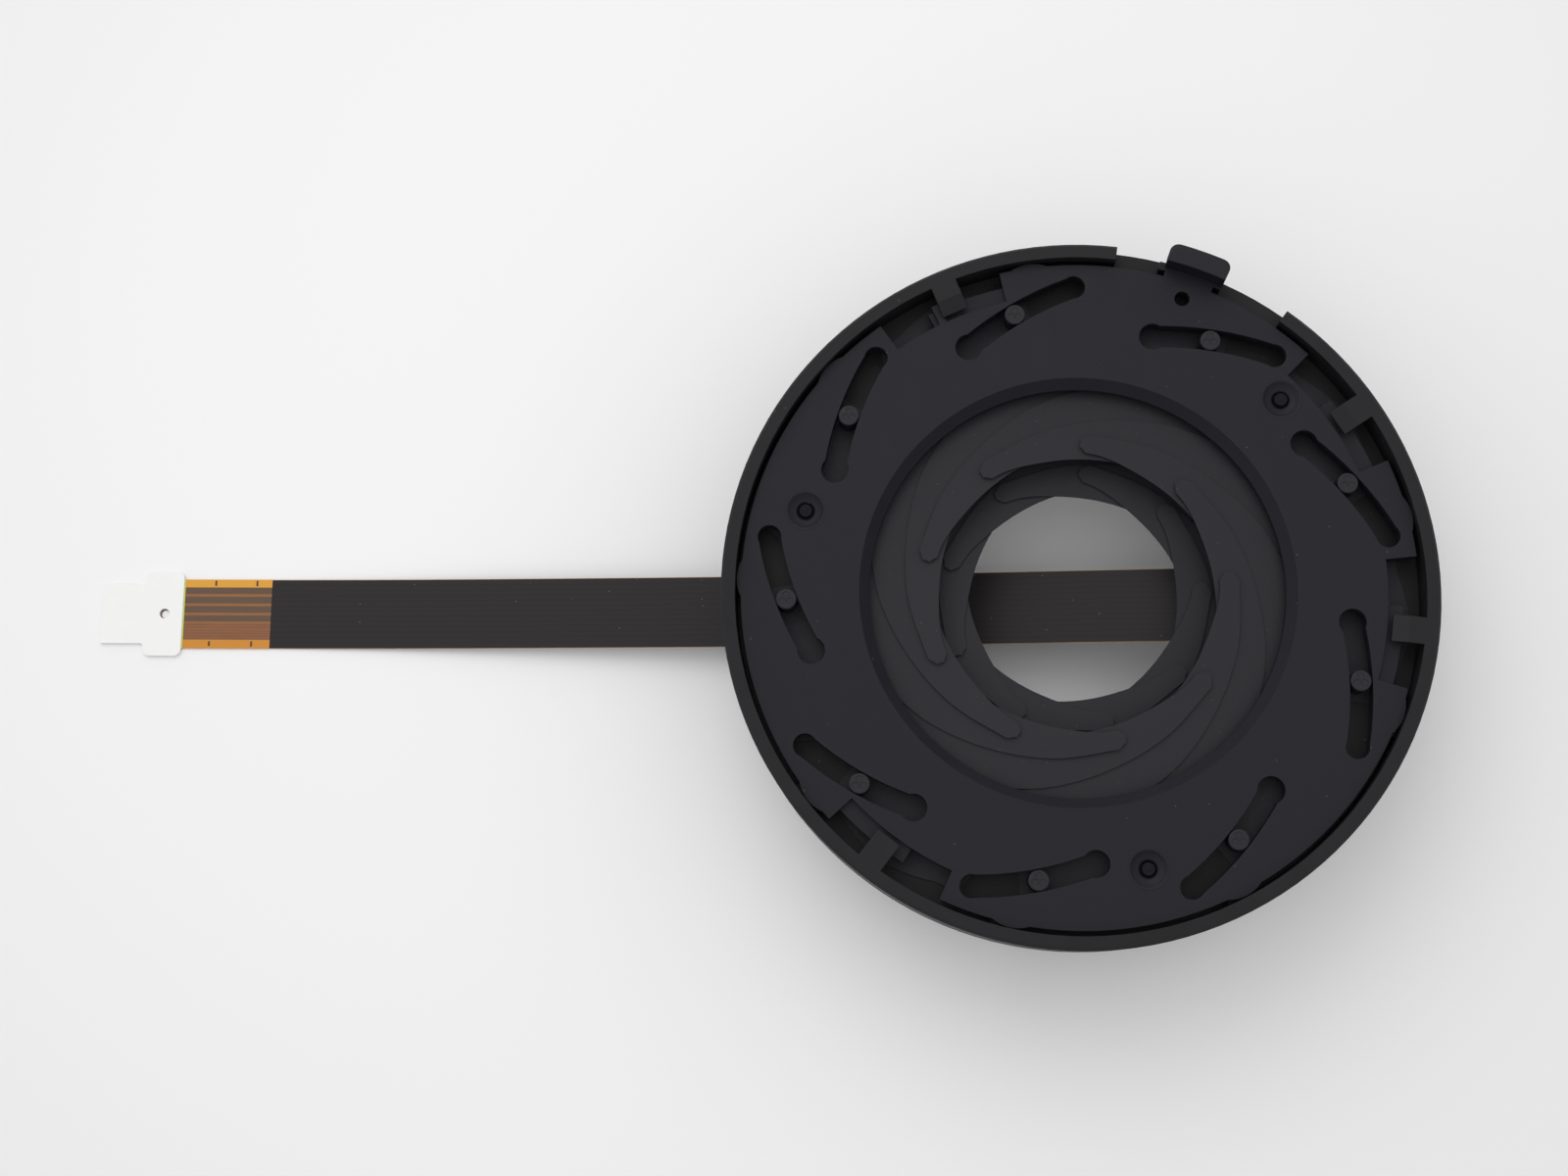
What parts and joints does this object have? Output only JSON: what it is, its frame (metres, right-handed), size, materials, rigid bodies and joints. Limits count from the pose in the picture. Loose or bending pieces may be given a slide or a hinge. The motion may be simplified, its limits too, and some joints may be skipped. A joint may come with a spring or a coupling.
{
  "type": "lens aperture unit",
  "caption": "Round lens aperture unit: a lever-turned cam plate over an upper iris, a motor-driven main iris below it, mounting posts and a flex ribbon.",
  "frame": {"origin": "on the optical axis, in the plane of the three mounting posts' feet", "axes": "+Z along the optical axis towards the side with the lever, +X to the right and +Y up as seen from that side; the ribbon leaves along -X"},
  "size_m": [0.1385, 0.07, 0.0203],
  "materials": {
    "housing_plastic": "matte black moulded plastic",
    "cover_plastic": "matte black moulded plastic",
    "cam_plastic": "matte charcoal moulded plastic with a slight blue cast",
    "ring_plastic": "matte black moulded plastic",
    "leaf_coating": "dull black coating on thin leaves",
    "screw_steel": "dark plated steel",
    "motor_steel": "drawn plated steel",
    "flange_steel": "stamped plated steel",
    "shaft_steel": "ground steel",
    "coil_copper": "enamelled copper wire",
    "magnet_ferrite": "ground ferrite",
    "pinion_brass": "machined brass",
    "block_plastic": "matte black plastic",
    "tinned_copper": "tinned copper",
    "sensor_plastic": "black sensor plastic",
    "coverlay_film": "dark brown-black satin film",
    "amber_film": "amber film over traces",
    "white_plastic": "white stiffener",
    "gold_plating": "gold plating"
  },
  "bodies": {
    "housing": {"housing": "housing_plastic", "bottom_cover": "cover_plastic", "cover_screws": "screw_steel", "motor_can": "motor_steel", "motor_coil_lower": "coil_copper", "motor_coil_upper": "coil_copper", "motor_flange": "flange_steel", "motor_terminal_block": "block_plastic", "motor_terminals": "tinned_copper", "motor_screws": "screw_steel", "photo_interrupter": "sensor_plastic", "sensor_leads": "tinned_copper", "flex_board": "coverlay_film", "flex_ribbon": "coverlay_film", "flex_window": "amber_film", "flex_stiffener": "white_plastic", "flex_contacts": "gold_plating"},
    "cam_plate": {"cam_plate": "cam_plastic"},
    "drive_ring": {"drive_ring": "ring_plastic"},
    "motor_rotor": {"rotor_magnet": "magnet_ferrite", "rotor_shaft": "shaft_steel", "drive_pinion": "pinion_brass"},
    "upper_leaf_1": {"upper_leaf_1": "leaf_coating"},
    "upper_leaf_2": {"upper_leaf_2": "leaf_coating"},
    "upper_leaf_3": {"upper_leaf_3": "leaf_coating"},
    "upper_leaf_4": {"upper_leaf_4": "leaf_coating"},
    "upper_leaf_5": {"upper_leaf_5": "leaf_coating"},
    "upper_leaf_6": {"upper_leaf_6": "leaf_coating"},
    "upper_leaf_7": {"upper_leaf_7": "leaf_coating"},
    "upper_leaf_8": {"upper_leaf_8": "leaf_coating"},
    "upper_leaf_9": {"upper_leaf_9": "leaf_coating"},
    "main_leaf_1": {"main_leaf_1": "leaf_coating"},
    "main_leaf_2": {"main_leaf_2": "leaf_coating"},
    "main_leaf_3": {"main_leaf_3": "leaf_coating"},
    "main_leaf_4": {"main_leaf_4": "leaf_coating"},
    "main_leaf_5": {"main_leaf_5": "leaf_coating"},
    "main_leaf_6": {"main_leaf_6": "leaf_coating"},
    "main_leaf_7": {"main_leaf_7": "leaf_coating"},
    "main_leaf_8": {"main_leaf_8": "leaf_coating"},
    "main_leaf_9": {"main_leaf_9": "leaf_coating"}
  },
  "joints": [
    {"name": "cam_plate_turn", "type": "hinge", "parent": "housing", "child": "cam_plate", "pos_m": [0, 0, 0.0163], "axis": [0, 0, 1], "range_deg": [-10, 7]},
    {"name": "drive_ring_turn", "type": "hinge", "parent": "housing", "child": "drive_ring", "pos_m": [0, 0, 0.0112], "axis": [0, 0, 1], "range_deg": [-11.3, 5]},
    {"name": "motor_spin", "type": "hinge", "parent": "housing", "child": "motor_rotor", "pos_m": [0.0145, -0.02511, 0.01015], "axis": [0, 0, 1], "range_deg": [-53.33, 107.93]},
    {"name": "upper_leaf_1_swing", "type": "hinge", "parent": "housing", "child": "upper_leaf_1", "pos_m": [0.02394, 0.0189, 0.015], "axis": [0, 0, 1], "range_deg": [-13.5, 9.9]},
    {"name": "upper_leaf_2_swing", "type": "hinge", "parent": "housing", "child": "upper_leaf_2", "pos_m": [0.00619, 0.02987, 0.015], "axis": [0, 0, 1], "range_deg": [-13.5, 9.9]},
    {"name": "upper_leaf_3_swing", "type": "hinge", "parent": "housing", "child": "upper_leaf_3", "pos_m": [-0.01446, 0.02685, 0.015], "axis": [0, 0, 1], "range_deg": [-13.5, 9.9]},
    {"name": "upper_leaf_4_swing", "type": "hinge", "parent": "housing", "child": "upper_leaf_4", "pos_m": [-0.02834, 0.01128, 0.015], "axis": [0, 0, 1], "range_deg": [-13.5, 9.9]},
    {"name": "upper_leaf_5_swing", "type": "hinge", "parent": "housing", "child": "upper_leaf_5", "pos_m": [-0.02896, -0.00958, 0.015], "axis": [0, 0, 1], "range_deg": [-13.5, 9.9]},
    {"name": "upper_leaf_6_swing", "type": "hinge", "parent": "housing", "child": "upper_leaf_6", "pos_m": [-0.01603, -0.02595, 0.015], "axis": [0, 0, 1], "range_deg": [-13.5, 9.9]},
    {"name": "upper_leaf_7_swing", "type": "hinge", "parent": "housing", "child": "upper_leaf_7", "pos_m": [0.0044, -0.03018, 0.015], "axis": [0, 0, 1], "range_deg": [-13.5, 9.9]},
    {"name": "upper_leaf_8_swing", "type": "hinge", "parent": "housing", "child": "upper_leaf_8", "pos_m": [0.02277, -0.02029, 0.015], "axis": [0, 0, 1], "range_deg": [-13.5, 9.9]},
    {"name": "upper_leaf_9_swing", "type": "hinge", "parent": "housing", "child": "upper_leaf_9", "pos_m": [0.03049, -0.0009, 0.015], "axis": [0, 0, 1], "range_deg": [-13.5, 9.9]},
    {"name": "main_leaf_1_swing", "type": "hinge", "parent": "housing", "child": "main_leaf_1", "pos_m": [0.0289, 0.01121, 0.0132], "axis": [0, 0, 1], "range_deg": [-19.58, 9.5]},
    {"name": "main_leaf_2_swing", "type": "hinge", "parent": "housing", "child": "main_leaf_2", "pos_m": [0.01493, 0.02717, 0.0132], "axis": [0, 0, 1], "range_deg": [-19.58, 9.5]},
    {"name": "main_leaf_3_swing", "type": "hinge", "parent": "housing", "child": "main_leaf_3", "pos_m": [-0.00602, 0.03041, 0.0132], "axis": [0, 0, 1], "range_deg": [-19.58, 9.5]},
    {"name": "main_leaf_4_swing", "type": "hinge", "parent": "housing", "child": "main_leaf_4", "pos_m": [-0.02416, 0.01942, 0.0132], "axis": [0, 0, 1], "range_deg": [-19.58, 9.5]},
    {"name": "main_leaf_5_swing", "type": "hinge", "parent": "housing", "child": "main_leaf_5", "pos_m": [-0.03099, -0.00065, 0.0132], "axis": [0, 0, 1], "range_deg": [-19.58, 9.5]},
    {"name": "main_leaf_6_swing", "type": "hinge", "parent": "housing", "child": "main_leaf_6", "pos_m": [-0.02332, -0.02042, 0.0132], "axis": [0, 0, 1], "range_deg": [-19.58, 9.5]},
    {"name": "main_leaf_7_swing", "type": "hinge", "parent": "housing", "child": "main_leaf_7", "pos_m": [-0.00474, -0.03064, 0.0132], "axis": [0, 0, 1], "range_deg": [-19.58, 9.5]},
    {"name": "main_leaf_8_swing", "type": "hinge", "parent": "housing", "child": "main_leaf_8", "pos_m": [0.01606, -0.02652, 0.0132], "axis": [0, 0, 1], "range_deg": [-19.58, 9.5]},
    {"name": "main_leaf_9_swing", "type": "hinge", "parent": "housing", "child": "main_leaf_9", "pos_m": [0.02935, -0.00999, 0.0132], "axis": [0, 0, 1], "range_deg": [-19.58, 9.5]}
  ],
  "couplings": [
    {"joint": "motor_spin", "follows": "drive_ring_turn", "ratio": -8.6667},
    {"joint": "upper_leaf_1_swing", "follows": "cam_plate_turn", "ratio": 1.2},
    {"joint": "upper_leaf_2_swing", "follows": "cam_plate_turn", "ratio": 1.2},
    {"joint": "upper_leaf_3_swing", "follows": "cam_plate_turn", "ratio": 1.2},
    {"joint": "upper_leaf_4_swing", "follows": "cam_plate_turn", "ratio": 1.2},
    {"joint": "upper_leaf_5_swing", "follows": "cam_plate_turn", "ratio": 1.2},
    {"joint": "upper_leaf_6_swing", "follows": "cam_plate_turn", "ratio": 1.2},
    {"joint": "upper_leaf_7_swing", "follows": "cam_plate_turn", "ratio": 1.2},
    {"joint": "upper_leaf_8_swing", "follows": "cam_plate_turn", "ratio": 1.2},
    {"joint": "upper_leaf_9_swing", "follows": "cam_plate_turn", "ratio": 1.2},
    {"joint": "main_leaf_1_swing", "follows": "drive_ring_turn", "ratio": 1.6},
    {"joint": "main_leaf_2_swing", "follows": "drive_ring_turn", "ratio": 1.6},
    {"joint": "main_leaf_3_swing", "follows": "drive_ring_turn", "ratio": 1.6},
    {"joint": "main_leaf_4_swing", "follows": "drive_ring_turn", "ratio": 1.6},
    {"joint": "main_leaf_5_swing", "follows": "drive_ring_turn", "ratio": 1.6},
    {"joint": "main_leaf_6_swing", "follows": "drive_ring_turn", "ratio": 1.6},
    {"joint": "main_leaf_7_swing", "follows": "drive_ring_turn", "ratio": 1.6},
    {"joint": "main_leaf_8_swing", "follows": "drive_ring_turn", "ratio": 1.6},
    {"joint": "main_leaf_9_swing", "follows": "drive_ring_turn", "ratio": 1.6}
  ]
}
